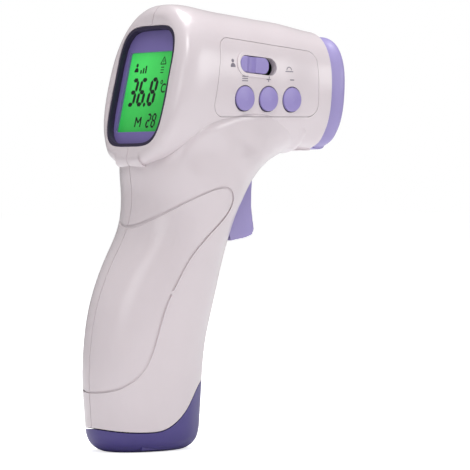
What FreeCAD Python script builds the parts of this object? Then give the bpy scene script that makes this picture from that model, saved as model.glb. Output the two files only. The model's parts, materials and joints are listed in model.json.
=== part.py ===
import FreeCAD
import Part
import math
import os

Vector = FreeCAD.Vector

# Infrared forehead thermometer. Millimetres. +Y is the way it points, +X is the
# control side, +Z is up, and the origin is the middle of the resting face.

# ---- driving dimensions -------------------------------------------------------
WALL = 2.1                # shell wall
SKIN = 0.8                # control panel plate
RING_WALL = 3.2           # nose ring wall
HALF_POINTS = 12          # spans in one half of a section curve
Z_LEAN = 101.0            # height at which a head section crosses its own station
LEAN = [(-5.5, 13.0), (62.5, 11.0), (73.4, 3.0)]   # station, lean in degrees
REAR_ROUND = 4.5          # rounding of the display end
FRONT_ROUND = 2.5         # rounding of the nose
BASE_ROUND = 6.5          # rounding of the base
RING_AT = 66.3            # joint between shells and nose ring, at Z_LEAN
RING_LEAN = 2.2

# station, half width, bottom, top, superellipse power
HEAD = [
    (-5.5, 22.4, 93.6, 149.1, 2.40),
    (5.0, 22.7, 94.8, 148.3, 2.40),
    (20.0, 21.1, 97.0, 146.4, 2.38),
    (35.0, 19.4, 98.4, 144.8, 2.35),
    (50.0, 17.7, 99.6, 142.9, 2.35),
    (62.5, 16.5, 100.3, 140.9, 2.35),
    (73.4, 15.6, 100.8, 139.2, 2.45),
]
HEAD_STATIONS = [8.0, 20.0, 35.0, 50.0, 60.0]

# height, rear, front, half width
GRIP = [
    (0.0, -19.3, 19.3, 14.1),
    (10.0, -20.4, 20.2, 14.8),
    (23.0, -21.2, 21.0, 15.5),
    (36.0, -20.5, 22.3, 16.1),
    (50.0, -17.6, 25.6, 16.8),
    (65.0, -10.8, 29.3, 17.4),
]
FAN_AXIS = (62.0, 78.0)   # Y and Z of the line the neck sections fan about
# angle, near, far, half width, power of the far side, and for the blend into the head
# its width and how far the neck's skin runs under the head's beyond it
FAN = [
    (0.0, 28.2, 67.0, 18.2, 2.15, 7.0, 0.12),
    (8.0, 26.5, 67.0, 19.0, 2.20, 7.0, 0.12),
    (16.0, 25.2, 69.4, 19.7, 2.40, 8.0, 0.12),
    (30.0, 24.2, 64.0, 19.8, 3.00, 9.0, 0.12),
    (45.0, 23.1, 54.0, 17.6, 3.00, 7.5, 0.15),
    (60.0, 22.3, 46.0, 14.6, 2.60, 5.0, 0.25),
    (74.0, 22.1, 40.0, 11.4, 2.30, 2.5, 0.60),
    (86.0, 22.5, 36.0, 8.6, 2.20, 0.4, 1.20),
]
NECK_ANGLES = [0, 8, 16, 23, 30, 37, 45, 52, 60, 67, 74, 86]
NECK_POINTS = 20          # spans in one half of a blended section
NECK_CLOSE = 8.0          # length over which a blended section closes at its far side
GRIP_POWER = 2.15

# display, in its own frame: x right, y up, z out of the face
DISPLAY_AT = Vector(0.0, -0.63, 122.0)
DISPLAY_LEAN = 13.0
WINDOW_HALF = (16.25, 20.8)
WINDOW_POWER = 4.5
WINDOW_Y = -0.7           # its middle
RECESS = 2.2
BEZEL = 0.8
BEZEL_FIT = 0.12
LCD_VIEW = (25.8, 27.5)   # opening in the bezel
LCD_VIEW_Y = -2.1         # its middle
LCD_GLASS = (28.6, 32.0, 1.1)

# controls, in a frame square to the side: x forward, y up, z out
SIDE_TAPER = 6.4
BUTTONS = {"mode_button": 27.3, "plus_button": 38.0, "minus_button": 48.7}
BUTTON_Z = 117.2
BUTTON_R = 4.1
BUTTON_GAP = 0.3
BUTTON_PROUD = 1.0
BUTTON_TRAVEL = 0.8
SLIDE_AT = (33.3, 128.3)
SLIDE_SLOPE = -4.0
SLOT = (16.5, 5.9)
KNOB_LENGTH = 12.7
KNOB_GAP = 0.3
KNOB_PROUD = 0.4
BOARD_DEPTH = 8.6         # key board face below the side
BOARD_X = (-18.0, 14.0)   # key board, about the middle button
BOARD_Y = (-8.0, 15.4)
STANDOFFS = [(-16.2, 4.8, -1.3), (12.2, 7.5, -1.5), (-5.35, -5.6, -2.3)]   # x, y, top
PANEL_CORNERS = [(21.2, 133.2), (18.3, 115.0), (57.2, 115.6), (57.2, 129.9)]
PANEL_ROUND = 4.0
PANEL_GAP = 0.15

# nose, in its own frame: z out along the barrel, y up
NOSE_LEAN = 3.0
CONE_R = 9.0
CONE_FLANGE_R = 10.4
SENSOR_R = 4.1
SENSOR_FLANGE_R = 4.6

# trigger
TRIGGER_PIVOT = (36.2, 92.3)
TRIGGER_HALF = 7.5
TRIGGER_GAP = 0.35
TRIGGER_PIN_R = 1.0
TRIGGER_PROFILE = [
    (40.7, 90.2), (40.35, 86.0), (40.3, 81.0), (40.9, 76.4), (41.4, 73.4),
    (40.8, 71.9), (37.0, 70.6), (31.0, 69.6), (30.0, 73.0), (31.6, 88.0), (33.6, 90.4),
]
PLUNGER_Z = 78.0

# cells and cap
CELL_R = 7.1
CELL_LENGTH = 49.2
CELL_NUB = (2.75, 1.3)
CELL_SPACING = 7.6
CELL_LEAN = 8.0
CELL_AT = Vector(0.0, -0.3, 8.0)
CRADLE_R = 8.6
CELL_BORE_R = 7.35
CAP_LINE = [
    (-26.0, 9.4), (-21.0, 8.3), (-18.3, 7.7), (-13.4, 7.1), (-7.1, 6.9), (-1.6, 7.4),
    (3.4, 9.7), (8.0, 13.5), (11.7, 18.0), (15.0, 21.6), (19.0, 23.8), (27.0, 25.0),
]
CAP_GAP = 0.4
TONGUE = (10.3, 11.5, -8.0, 2.0)   # snap tongue: X and Y of its sides

GROOVE_LINE = [
    (-12.0, 71.4), (-6.6, 73.9), (-4.0, 76.1), (0.5, 79.4), (6.0, 82.8), (12.8, 85.9),
    (18.6, 87.5), (22.6, 86.8), (24.6, 84.4), (24.5, 81.7), (22.3, 78.4), (17.0, 73.8),
    (12.1, 69.4), (7.4, 64.3), (2.9, 57.3), (-0.9, 50.2), (-3.5, 43.1), (-5.3, 36.8),
    (-7.1, 31.6), (-9.6, 27.1), (-12.8, 23.9), (-16.0, 21.8), (-19.6, 20.5), (-25.0, 20.0),
]
GROOVE_HALF = 0.4
GROOVE_DEPTH = 0.45
SEAM = 0.3
SEAM_DEPTH = 0.35

# case screws: Y and Z of each boss
SCREWS = [(20.0, 141.0), (52.0, 137.2), (50.0, 106.0), (21.5, 66.5), (-0.5, 70.0)]
SCREW_R = 1.1
SCREW_HEAD_R = 2.3
BOSS_R = 2.7


# ---- small helpers ------------------------------------------------------------
def interp(table, s):
    if s <= table[0][0]:
        return list(table[0][1:])
    for low, high in zip(table, table[1:]):
        if s <= high[0]:
            t = (s - low[0]) / (high[0] - low[0])
            return [a + (b - a) * t for a, b in zip(low[1:], high[1:])]
    return list(table[-1][1:])


def power_cos(value, power):
    return math.copysign(abs(value) ** (2.0 / power), value)


def frame_at(origin, x_axis, y_axis, z_axis):
    return FreeCAD.Placement(origin, FreeCAD.Rotation(x_axis, y_axis, z_axis, "ZXY"))


def moved(shape, place):
    result = shape.copy()
    result.Placement = place.multiply(shape.Placement)
    return result


def box(x0, x1, y0, y1, z0, z1):
    return Part.makeBox(x1 - x0, y1 - y0, z1 - z0, Vector(x0, y0, z0))


def cylinder(radius, z0, z1, x=0.0, y=0.0):
    return Part.makeCylinder(radius, z1 - z0, Vector(x, y, z0))


def x_cylinder(radius, x0, x1, y, z):
    return Part.makeCylinder(radius, x1 - x0, Vector(x0, y, z), Vector(1, 0, 0))


def revolve(profile):
    """Solid of revolution about z from (radius, z) corners."""
    points = [Vector(r, 0, z) for r, z in profile]
    wire = Part.makePolygon(points + [points[0]])
    return Part.Face(wire).revolve(Vector(0, 0, 0), Vector(0, 0, 1), 360)


def x_prism(points, x0, x1):
    """Prism along X from (Y, Z) corners."""
    corners = [Vector(x0, y, z) for y, z in points]
    wire = Part.makePolygon(corners + [corners[0]])
    return Part.Face(wire).extrude(Vector(x1 - x0, 0, 0))


def rounded_box(width, height, radius, z0, z1, x=0.0, y=0.0):
    solid = box(x - width / 2, x + width / 2, y - height / 2, y + height / 2, z0, z1)
    upright = [e for e in solid.Edges if abs(e.Vertexes[0].Z - e.Vertexes[1].Z) > 1e-6]
    return solid.makeFillet(radius, upright)


def mirrored(shape):
    return shape.mirror(Vector(0, 0, 0), Vector(1, 0, 0))


def half_wire(point_at, count=HALF_POINTS):
    """Closed wire of the X >= 0 half of a section, flat on X = 0."""
    points = [point_at(math.pi * i / count) for i in range(count + 1)]
    curve = Part.BSplineCurve()
    curve.interpolate(Points=points, InitialTangent=Vector(1, 0, 0),
                      FinalTangent=Vector(-1, 0, 0))
    return Part.Wire([curve.toShape(), Part.LineSegment(points[-1], points[0]).toShape()])


# ---- body surfaces ------------------------------------------------------------
def head_wire(station, inset):
    width, bottom, top, power = interp(HEAD, station)
    slope = math.tan(math.radians(interp(LEAN, station)[0]))
    middle = (bottom + top) / 2
    half_height = (top - bottom) / 2 - inset
    half_width = width - inset

    def point_at(angle):
        z = middle + half_height * power_cos(math.cos(angle), power)
        x = half_width * power_cos(math.sin(angle), power)
        return Vector(x, station + (z - Z_LEAN) * slope, z)
    return half_wire(point_at)


def quarter(radius, count=4):
    """Distance in from the end, and inset there, along a quarter circle."""
    for k in range(count + 1):
        angle = math.pi / 2 * k / count
        yield radius * (1 - math.cos(angle)), radius * (1 - math.sin(angle))


def head_half(inset):
    rear = max(REAR_ROUND - inset, 0.6)
    front = max(FRONT_ROUND - inset, 0.6)
    start = HEAD[0][0] + inset
    end = HEAD[-1][0] - inset
    wires = [head_wire(start + run, inset + extra) for run, extra in quarter(rear)]
    wires += [head_wire(s, inset) for s in HEAD_STATIONS]
    wires += [head_wire(end - run, inset + extra) for run, extra in reversed(list(quarter(front)))]
    return Part.makeLoft(wires, True, False)


def grip_wire(near, far, half_width, power_near, power_far, inset, place):
    middle = (near + far) / 2
    half_depth = abs(far - near) / 2 - inset

    def point_at(angle):
        power = power_near if math.cos(angle) < 0 else power_far
        return place(middle + half_depth * power_cos(math.cos(angle), power),
                     (half_width - inset) * power_cos(math.sin(angle), power))
    return half_wire(point_at)


def level_place(z):
    def place(u, v):
        return Vector(v, FAN_AXIS[0] - u, z)
    return place


def fan_place(degrees):
    cosine = math.cos(math.radians(degrees))
    sine = math.sin(math.radians(degrees))

    def place(u, v):
        return Vector(v, FAN_AXIS[0] - u * cosine, FAN_AXIS[1] + u * sine)
    return place


def grip_level(z, inset):
    rear, front, half_width = interp(GRIP, z)
    return grip_wire(FAN_AXIS[0] - front, FAN_AXIS[0] - rear, half_width,
                     GRIP_POWER, GRIP_POWER, inset, level_place(z))


def grip_levels(inset):
    base = max(BASE_ROUND - inset, 0.6)
    wires = [grip_level(inset + run, inset + extra) for run, extra in quarter(base)]
    return wires + [grip_level(z, inset) for z in [10.0, 23.0, 36.0, 50.0, 65.0]]


def grip_half(inset):
    wires = grip_levels(inset)
    for degrees, near, far, half_width, power, blend, sink in FAN:
        wires.append(grip_wire(near, far, half_width, GRIP_POWER, power, inset,
                               fan_place(degrees)))
    return Part.makeLoft(wires, True, False)


def body_half(inset):
    return head_half(inset).fuse(grip_half(inset))


def head_reach(y, z):
    """Half width of the head at a point of its side view, 0 outside it."""
    station = y
    for _ in range(6):
        slope = math.tan(math.radians(interp(LEAN, station)[0]))
        station = y - (z - Z_LEAN) * slope
    run = station - HEAD[0][0]
    if run <= 0:
        return 0.0
    width, bottom, top, power = interp(HEAD, station)
    extra = 0.0
    if run < REAR_ROUND:
        extra = REAR_ROUND - math.sqrt(REAR_ROUND ** 2 - (REAR_ROUND - run) ** 2)
    ratio = abs((z - (bottom + top) / 2) / ((top - bottom) / 2 - extra))
    if ratio >= 1:
        return 0.0
    return (width - extra) * (1 - ratio ** power) ** (1 / power)


def smooth_max(a, b, blend):
    overlap = max(blend - abs(a - b), 0) / blend
    return max(a, b) + overlap ** 2 * blend / 4


def neck_wire(degrees, near, far, half_width, power_far, blend, sink):
    """Neck section that swells where it nears the head's side."""
    place = fan_place(degrees)
    middle = (near + far) / 2
    half_depth = (far - near) / 2

    def point_at(angle):
        power = GRIP_POWER if math.cos(angle) < 0 else power_far
        u = middle + half_depth * power_cos(math.cos(angle), power)
        v = half_width * power_cos(math.sin(angle), power)
        spot = place(u, 0)
        reach = head_reach(spot.y, spot.z)
        if reach > 0 and angle < math.pi - 0.001:
            remaining = min(max((far - u) / NECK_CLOSE, 0.0), 1.0)
            v = smooth_max(max(reach - sink, 0.0), v, blend)
            v *= math.sqrt(1 - (1 - remaining) ** 2)
        return place(u, v)
    return half_wire(point_at, NECK_POINTS)


def outer_half():
    """Outside of one half of the body, with the neck blended into the head."""
    wires = grip_levels(0)
    wires += [neck_wire(degrees, *interp(FAN, degrees)) for degrees in NECK_ANGLES]
    return head_half(0).fuse(Part.makeLoft(wires, True, False))


def ahead_of_ring(shift):
    """Everything in front of the ring joint, as a block."""
    block = box(-60, 60, 0, 90, -70, 90)
    block.rotate(Vector(0, 0, 0), Vector(1, 0, 0), -RING_LEAN)
    block.translate(Vector(0, RING_AT + shift, Z_LEAN))
    return block


# ---- local frames -------------------------------------------------------------
def display_frame():
    lean = math.radians(DISPLAY_LEAN)
    return frame_at(DISPLAY_AT, Vector(1, 0, 0), Vector(0, math.sin(lean), math.cos(lean)),
                    Vector(0, -math.cos(lean), math.sin(lean)))


def nose_frame():
    width, bottom, top, power = interp(HEAD, HEAD[-1][0])
    lean = math.radians(NOSE_LEAN)
    z = (bottom + top) / 2
    origin = Vector(0, HEAD[-1][0] + (z - Z_LEAN) * math.tan(lean), z)
    return frame_at(origin, Vector(-1, 0, 0), Vector(0, math.sin(lean), math.cos(lean)),
                    Vector(0, math.cos(lean), -math.sin(lean)))


def side_frame(y, z, slope=0.0):
    """Frame on the flat plane that the buttons, slide and key board share."""
    taper = math.radians(SIDE_TAPER)
    middle = BUTTONS["plus_button"]
    tilt = math.radians(slope)
    forward = Vector(-math.sin(taper), math.cos(taper), 0)
    upward = Vector(0, 0, 1)
    x_axis = forward * math.cos(tilt) + upward * math.sin(tilt)
    y_axis = upward * math.cos(tilt) - forward * math.sin(tilt)
    out = Vector(math.cos(taper), math.sin(taper), 0)
    x = head_reach(middle, BUTTON_Z) - (y - middle) * math.tan(taper)
    return frame_at(Vector(x, y, z), x_axis, y_axis, out)


def handle_frame():
    lean = math.radians(CELL_LEAN)
    return frame_at(CELL_AT, Vector(1, 0, 0), Vector(0, math.cos(lean), -math.sin(lean)),
                    Vector(0, math.sin(lean), math.cos(lean)))


# ---- cutters ------------------------------------------------------------------
def window_prism(shrink, z0, z1):
    """Prism on the window's outline, a superellipse."""
    half_w = WINDOW_HALF[0] - shrink
    half_h = WINDOW_HALF[1] - shrink
    points = []
    for i in range(32):
        angle = 2 * math.pi * i / 32
        points.append(Vector(half_w * power_cos(math.cos(angle), WINDOW_POWER),
                             WINDOW_Y + half_h * power_cos(math.sin(angle), WINDOW_POWER), z0))
    curve = Part.BSplineCurve()
    curve.interpolate(Points=points, PeriodicFlag=True)
    return Part.Face(Part.Wire(curve.toShape())).extrude(Vector(0, 0, z1 - z0))


def panel_prism(grow):
    corners = [Vector(0, y, z) for y, z in PANEL_CORNERS]
    wire = Part.makePolygon(corners + [corners[0]])
    face = Part.Face(wire.makeOffset2D(PANEL_ROUND + grow))
    return face.extrude(Vector(40, 0, 0))


def stadium(length, width, z0, z1):
    return rounded_box(length, width, width / 2 - 0.001, z0, z1)


def cap_block(shift):
    """Everything below the cap line, raised by shift."""
    points = [Vector(-30, y, z + shift) for y, z in CAP_LINE]
    curve = Part.BSplineCurve()
    curve.interpolate(Points=points)
    low = [Vector(-30, points[-1].y, -10), Vector(-30, points[0].y, -10)]
    edges = [
        curve.toShape(),
        Part.LineSegment(points[-1], low[0]).toShape(),
        Part.LineSegment(low[0], low[1]).toShape(),
        Part.LineSegment(low[1], points[0]).toShape(),
    ]
    return Part.Face(Part.Wire(edges)).extrude(Vector(60, 0, 0))


def ribbon(line, half):
    """Prism along X on a band of even width about a line."""
    curve = Part.BSplineCurve()
    curve.interpolate(Points=[Vector(0, y, z) for y, z in line])
    count = 60
    left = []
    right = []
    for i in range(count + 1):
        u = curve.FirstParameter + (curve.LastParameter - curve.FirstParameter) * i / count
        point = curve.value(u)
        tangent = curve.tangent(u)[0]
        side = Vector(0, -tangent.z, tangent.y)
        left.append(point + side * half)
        right.append(point - side * half)
    first = Part.BSplineCurve()
    first.interpolate(Points=left)
    second = Part.BSplineCurve()
    second.interpolate(Points=right)
    edges = [
        first.toShape(),
        Part.LineSegment(left[-1], right[-1]).toShape(),
        second.toShape(),
        Part.LineSegment(right[0], left[0]).toShape(),
    ]
    return Part.Face(Part.Wire(edges)).extrude(Vector(30, 0, 0))


def trigger_slot():
    side = TRIGGER_HALF + TRIGGER_GAP
    return box(-side, side, 28.0, 50.0, 69.2, 90.9)


# ---- shells -------------------------------------------------------------------
def shell_half(outer, inner):
    """Right half of the case before its own openings."""
    half = outer.cut(inner)
    half = half.cut(ahead_of_ring(0))
    half = half.cut(cap_block(CAP_GAP / 2))
    groove_skin = ribbon(GROOVE_LINE, GROOVE_HALF).cut(body_half(GROOVE_DEPTH))
    half = half.cut(groove_skin)
    seam_skin = box(-1, SEAM / 2, -40, 90, -5, 160).cut(body_half(SEAM_DEPTH))
    half = half.cut(seam_skin)
    half = half.cut(moved(window_prism(0, -6.5, 6), display_frame()))
    half = half.cut(trigger_slot())
    return half


def pivot_boss(outer):
    y, z = TRIGGER_PIVOT
    boss = x_cylinder(2.4, TRIGGER_HALF + 0.4, 22, y, z).common(outer)
    return boss.cut(x_cylinder(TRIGGER_PIN_R + 0.03, 0, 11, y, z))


def screw_boss(outer, y, z):
    return x_cylinder(BOSS_R, 0, 24, y, z).common(outer)


def cradle_rib(outer, level):
    rib = box(CRADLE_R, 20, -7.5, 7.5, level, level + 1.2)
    return moved(rib, handle_frame()).common(outer)


def fit_half(shell, outer):
    """Adds what both halves carry inside."""
    ribs = [cradle_rib(outer, 18.0), cradle_rib(outer, 44.0)]
    bosses = [screw_boss(outer, y, z) for y, z in SCREWS]
    return shell.fuse([pivot_boss(outer)] + ribs + bosses)


def right_shell(base):
    shell = base
    for y, z in SCREWS:
        shell = shell.cut(x_cylinder(SCREW_R, -1, 7, y, z))
    shell = shell.cut(panel_prism(PANEL_GAP).cut(body_half(SKIN + 0.12)))
    for y in BUTTONS.values():
        hole = cylinder(BUTTON_R + BUTTON_GAP, -6, 6)
        shell = shell.cut(moved(hole, side_frame(y, BUTTON_Z)))
    slot = stadium(SLOT[0], SLOT[1], -6, 6)
    shell = shell.cut(moved(slot, side_frame(*SLIDE_AT, SLIDE_SLOPE)))
    posts = [moved(cylinder(1.6, -BOARD_DEPTH, top, x, y), board_frame())
             for x, y, top in STANDOFFS]
    return shell.fuse(posts)


def screw_seat(y, z):
    return head_reach(y, z) - 4.0 if z > 100 else 11.0


def left_shell(base):
    shell = mirrored(base)
    for y, z in SCREWS:
        seat = screw_seat(y, z)
        shell = shell.cut(x_cylinder(SCREW_R + 0.15, -seat - 1, 1, y, z))
        shell = shell.cut(x_cylinder(SCREW_HEAD_R + 0.2, -30, -seat, y, z))
    return shell


def case_screw(y, z):
    seat = screw_seat(y, z)
    shank = x_cylinder(SCREW_R, -seat, 6, y, z)
    head = x_cylinder(SCREW_HEAD_R, -seat - 1.7, -seat, y, z)
    screw = shank.fuse(head)
    slot = box(-seat - 2, -seat - 0.8, y - 1.5, y + 1.5, z - 0.3, z + 0.3)
    cross = box(-seat - 2, -seat - 0.8, y - 0.3, y + 0.3, z - 1.5, z + 1.5)
    return screw.cut(slot.fuse(cross))


# ---- nose ---------------------------------------------------------------------
def ring_wire(station, inset):
    """Whole head section, as a right and a left curve."""
    curve = head_wire(station, inset).Edges[0]
    return Part.Wire([curve, mirrored(curve)])


def ring_loft(stations, inset):
    return Part.makeLoft([ring_wire(s, inset) for s in stations], True, False)


def nose_ring():
    end = HEAD[-1][0]
    wires = [ring_wire(s, 0) for s in (50.0, 60.0)]
    wires += [ring_wire(end - run, extra) for run, extra in reversed(list(quarter(FRONT_ROUND)))]
    ring = Part.makeLoft(wires, True, False).common(ahead_of_ring(0.12))
    spigot = ring_loft((50.0, 55.0, 60.0, 65.0), WALL + 0.1)
    spigot = spigot.common(ahead_of_ring(-3.0)).cut(ahead_of_ring(1.0))
    ring = ring.fuse(spigot)
    ring = ring.cut(ring_loft((45.0, 53.0, 61.0, 68.2), RING_WALL))
    bore = cylinder(CONE_R + 0.05, -8, 3).fuse(cylinder(CONE_FLANGE_R + 0.05, -1.45, 3))
    return ring.cut(moved(bore, nose_frame()))


def sensor_shroud():
    profile = [
        (8.3, -0.3), (CONE_FLANGE_R, -0.3), (CONE_FLANGE_R, -1.4), (CONE_R, -1.4), (CONE_R, -9.0),
        (SENSOR_FLANGE_R + 0.1, -9.0), (SENSOR_FLANGE_R + 0.1, -7.0),
    ]
    return moved(revolve(profile), nose_frame())


def sensor_holder():
    profile = [
        (8.0, -9.0), (8.0, -16.2), (SENSOR_FLANGE_R, -16.2), (SENSOR_FLANGE_R, -11.6),
        (SENSOR_R, -11.6), (SENSOR_R, -9.0),
    ]
    return moved(revolve(profile), nose_frame())


def thermopile_can():
    can = cylinder(SENSOR_R, -11.6, -7.6).fuse(cylinder(SENSOR_FLANGE_R, -12.3, -11.6))
    can = can.cut(cylinder(2.6, -8.2, -7))
    for x, y in ((1.8, 1.8), (-1.8, 1.8), (1.8, -1.8), (-1.8, -1.8)):
        can = can.fuse(cylinder(0.23, -18.4, -12.3, x, y))
    return moved(can, nose_frame())


def sensor_window():
    return moved(cylinder(2.6, -8.2, -7.7), nose_frame())


def sensor_board():
    board = cylinder(8.0, -17.4, -16.2)
    for x, y in ((1.8, 1.8), (-1.8, 1.8), (1.8, -1.8), (-1.8, -1.8)):
        board = board.cut(cylinder(0.3, -19, -15, x, y))
    return moved(board, nose_frame())


# ---- display ------------------------------------------------------------------
def display_bezel():
    tray = window_prism(BEZEL_FIT, -RECESS - BEZEL, -0.3)
    tray = tray.cut(window_prism(BEZEL_FIT + 0.9, -RECESS, 1))
    view = rounded_box(LCD_VIEW[0], LCD_VIEW[1], 0.8, -6, 1, 0, LCD_VIEW_Y)
    return moved(tray.cut(view), display_frame())


def lcd_levels():
    top = -RECESS - BEZEL - 0.05
    return top, top - LCD_GLASS[2]


def lcd_glass():
    top, under = lcd_levels()
    glass = rounded_box(LCD_GLASS[0], LCD_GLASS[1], 0.4, under, top, 0, LCD_VIEW_Y)
    return moved(glass, display_frame())


def backlight():
    top, under = lcd_levels()
    return moved(rounded_box(27.4, 27.0, 0.6, under - 2.5, under - 0.1, 0, LCD_VIEW_Y),
                 display_frame())


def zebra_strip(sign):
    top, under = lcd_levels()
    y = LCD_VIEW_Y + sign * 14.8
    strip = box(-13, 13, y - 0.9, y + 0.9, under - 3.4, under)
    return moved(strip, display_frame())


def board_levels():
    top, under = lcd_levels()
    return under - 3.4, under - 5.0


def main_board():
    face, back = board_levels()
    board = rounded_box(30.2, 36.4, 4, back, face, 0, LCD_VIEW_Y)
    for x, y in ((13.2, 14.6), (-13.2, 14.6), (13.2, -18.9), (-13.2, -18.9)):
        board = board.cut(cylinder(0.9, back - 1, face + 1, x, y))
    return moved(board, display_frame())


def controller_chip():
    face, back = board_levels()
    chip = box(-9, 1, -8, 2, back - 1.5, back - 0.15)
    for i in range(10):
        offset = -7.5 + i * 1.0
        chip = chip.fuse(box(-9.9, -9, offset - 0.15, offset + 0.15, back - 0.35, back))
        chip = chip.fuse(box(1, 1.9, offset - 0.15, offset + 0.15, back - 0.35, back))
    return moved(chip, display_frame())


def buzzer():
    face, back = board_levels()
    body = cylinder(6.0, back - 4.6, back, 7.0, 9.5)
    return moved(body.cut(cylinder(1.0, back - 5, back - 3.4, 7.0, 9.5)), display_frame())


def crystal():
    face, back = board_levels()
    return moved(rounded_box(3.4, 9.6, 1.6, back - 3.2, back, -6.0, 9.0), display_frame())


# ---- controls -----------------------------------------------------------------
def control_panel(outer):
    plate = panel_prism(0).common(outer).cut(body_half(SKIN))
    for y in BUTTONS.values():
        hole = cylinder(BUTTON_R + BUTTON_GAP, -6, 6)
        plate = plate.cut(moved(hole, side_frame(y, BUTTON_Z)))
    slide = side_frame(*SLIDE_AT, SLIDE_SLOPE)
    rim = moved(stadium(SLOT[0] + 2.5, SLOT[1] + 2.3, -4, 4), slide)
    rim = rim.common(head_half(-0.35)).cut(body_half(SKIN))
    plate = plate.fuse(rim)
    return plate.cut(moved(stadium(SLOT[0], SLOT[1], -6, 6), slide))


def button(y):
    body = cylinder(BUTTON_R, -3.2, BUTTON_PROUD)
    dome_r = 22.0
    dome = Part.makeSphere(dome_r, Vector(0, 0, BUTTON_PROUD - dome_r))
    body = body.common(dome)
    rim = [e for e in body.Edges if e.BoundBox.ZMin > 0.2]
    body = body.makeFillet(0.35, rim)
    flange = cylinder(BUTTON_R + 0.9, -3.7, -3.2)
    stem = cylinder(1.6, -5.3, -3.2)
    return moved(body.fuse([flange, stem]), side_frame(y, BUTTON_Z))


def key_switch(y):
    body = rounded_box(6.2, 6.2, 0.4, -BOARD_DEPTH, -4.9)
    body = body.cut(cylinder(1.8, -6.6, -4))
    return moved(body, side_frame(y, BUTTON_Z))


def board_frame():
    """Side frame at the middle button, which the key board follows."""
    return side_frame(BUTTONS["plus_button"], BUTTON_Z)


def key_board():
    x0, x1 = BOARD_X
    y0, y1 = BOARD_Y
    board = rounded_box(x1 - x0, y1 - y0, 1.5, -BOARD_DEPTH - 1.2, -BOARD_DEPTH,
                        (x0 + x1) / 2, (y0 + y1) / 2)
    return moved(board, board_frame())


def slide_knob():
    knob = rounded_box(KNOB_LENGTH, SLOT[1] - 2 * KNOB_GAP, 2.2, -3.4, KNOB_PROUD)
    top = [e for e in knob.Edges if e.BoundBox.ZMin > KNOB_PROUD - 0.01]
    knob = knob.makeFillet(0.3, top)
    scoop = Part.makeCylinder(2.6, 10, Vector(-1.6, -5, KNOB_PROUD + 1.7), Vector(0, 1, 0))
    knob = knob.cut(scoop)
    flange = rounded_box(KNOB_LENGTH + 1.6, SLOT[1] + 1.0, 2.2, -4.0, -3.4)
    lever = box(-0.8, 0.8, -0.7, 0.7, -6.0, -4.0)
    knob = knob.fuse([flange, lever])
    knob.translate(Vector(-(SLOT[0] - KNOB_LENGTH) / 2 + KNOB_GAP, 0, 0))
    return moved(knob, side_frame(*SLIDE_AT, SLIDE_SLOPE))


def slide_switch():
    start = -(SLOT[0] - KNOB_LENGTH) / 2 + KNOB_GAP
    travel = SLOT[0] - KNOB_LENGTH - 2 * KNOB_GAP
    body = box(-5.2, 5.2, -2.2, 2.2, -BOARD_DEPTH, -4.4)
    body = body.cut(box(start - 1.1, start + travel + 1.1, -1.0, 1.0, -6.4, -4))
    return moved(body, side_frame(*SLIDE_AT, SLIDE_SLOPE))


# ---- trigger ------------------------------------------------------------------
def trigger():
    y, z = TRIGGER_PIVOT
    blade = x_prism(TRIGGER_PROFILE, -TRIGGER_HALF, TRIGGER_HALF)
    front = []
    for edge in blade.Edges:
        middle = edge.BoundBox.Center
        if abs(middle.x) > TRIGGER_HALF - 0.01 and middle.y > 39.0:
            front.append(edge)
    blade = blade.makeFillet(1.6, front)
    hollow = x_prism([(29.0, 72.6), (36.6, 74.0), (36.9, 89.0), (31.0, 89.0), (29.0, 86.0)],
                     -TRIGGER_HALF + 1.6, TRIGGER_HALF - 1.6)
    blade = blade.cut(hollow)
    arm = x_prism([(33.8, 86.5), (38.3, 86.5), (38.6, z), (33.8, z)], -5.0, 5.0)
    boss = x_cylinder(2.4, -5.0, 5.0, y, z)
    pad = x_cylinder(1.5, -2.5, 2.5, 35.5, PLUNGER_Z)
    rib = box(-2.5, 2.5, 35.5, 38.0, PLUNGER_Z - 1.5, PLUNGER_Z + 1.5)
    blade = blade.fuse([arm, boss, pad, rib])
    return blade.cut(x_cylinder(TRIGGER_PIN_R + 0.05, -9, 9, y, z))


def trigger_pin():
    y, z = TRIGGER_PIVOT
    return x_cylinder(TRIGGER_PIN_R, -9.0, 9.0, y, z)


def trigger_plunger():
    stem = Part.makeCylinder(1.5, 8.0, Vector(0, 25.6, PLUNGER_Z), Vector(0, 1, 0))
    head = Part.makeCylinder(2.4, 0.8, Vector(0, 32.85, PLUNGER_Z), Vector(0, 1, 0))
    return stem.fuse(head)


def trigger_switch():
    body = box(-3.1, 3.1, 22.6, 26.6, PLUNGER_Z - 3.1, PLUNGER_Z + 3.1)
    return body.cut(Part.makeCylinder(1.6, 4, Vector(0, 23.6, PLUNGER_Z), Vector(0, 1, 0)))


def trigger_board():
    return box(-13, 13, 21.4, 22.6, 71, 86)


# ---- cells, cradle and cap ----------------------------------------------------
def battery_cradle():
    outer = rounded_box(2 * CRADLE_R, 2 * (CELL_SPACING + CRADLE_R), CRADLE_R - 0.01, 0.6, 53.6)
    for y in (-CELL_SPACING, CELL_SPACING):
        outer = outer.cut(cylinder(CELL_BORE_R, -5, 51.6, 0, y))
    outer = outer.cut(box(-2, 2, -6, 6, -1, 51.6))
    place = handle_frame()
    cradle = moved(outer, place)
    return cradle.cut(cap_block(1.2))


def cell(y, upright):
    body = cylinder(CELL_R, 0, CELL_LENGTH, 0, y)
    rims = [e for e in body.Edges if e.BoundBox.DiagonalLength > 10 and e.BoundBox.ZLength < 0.1]
    body = body.makeFillet(0.6, rims)
    if upright:
        body = body.fuse(cylinder(CELL_NUB[0], CELL_LENGTH, CELL_LENGTH + CELL_NUB[1], 0, y))
    else:
        body = body.fuse(cylinder(CELL_NUB[0], -CELL_NUB[1], 0, 0, y))
    return moved(body, handle_frame())


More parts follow.
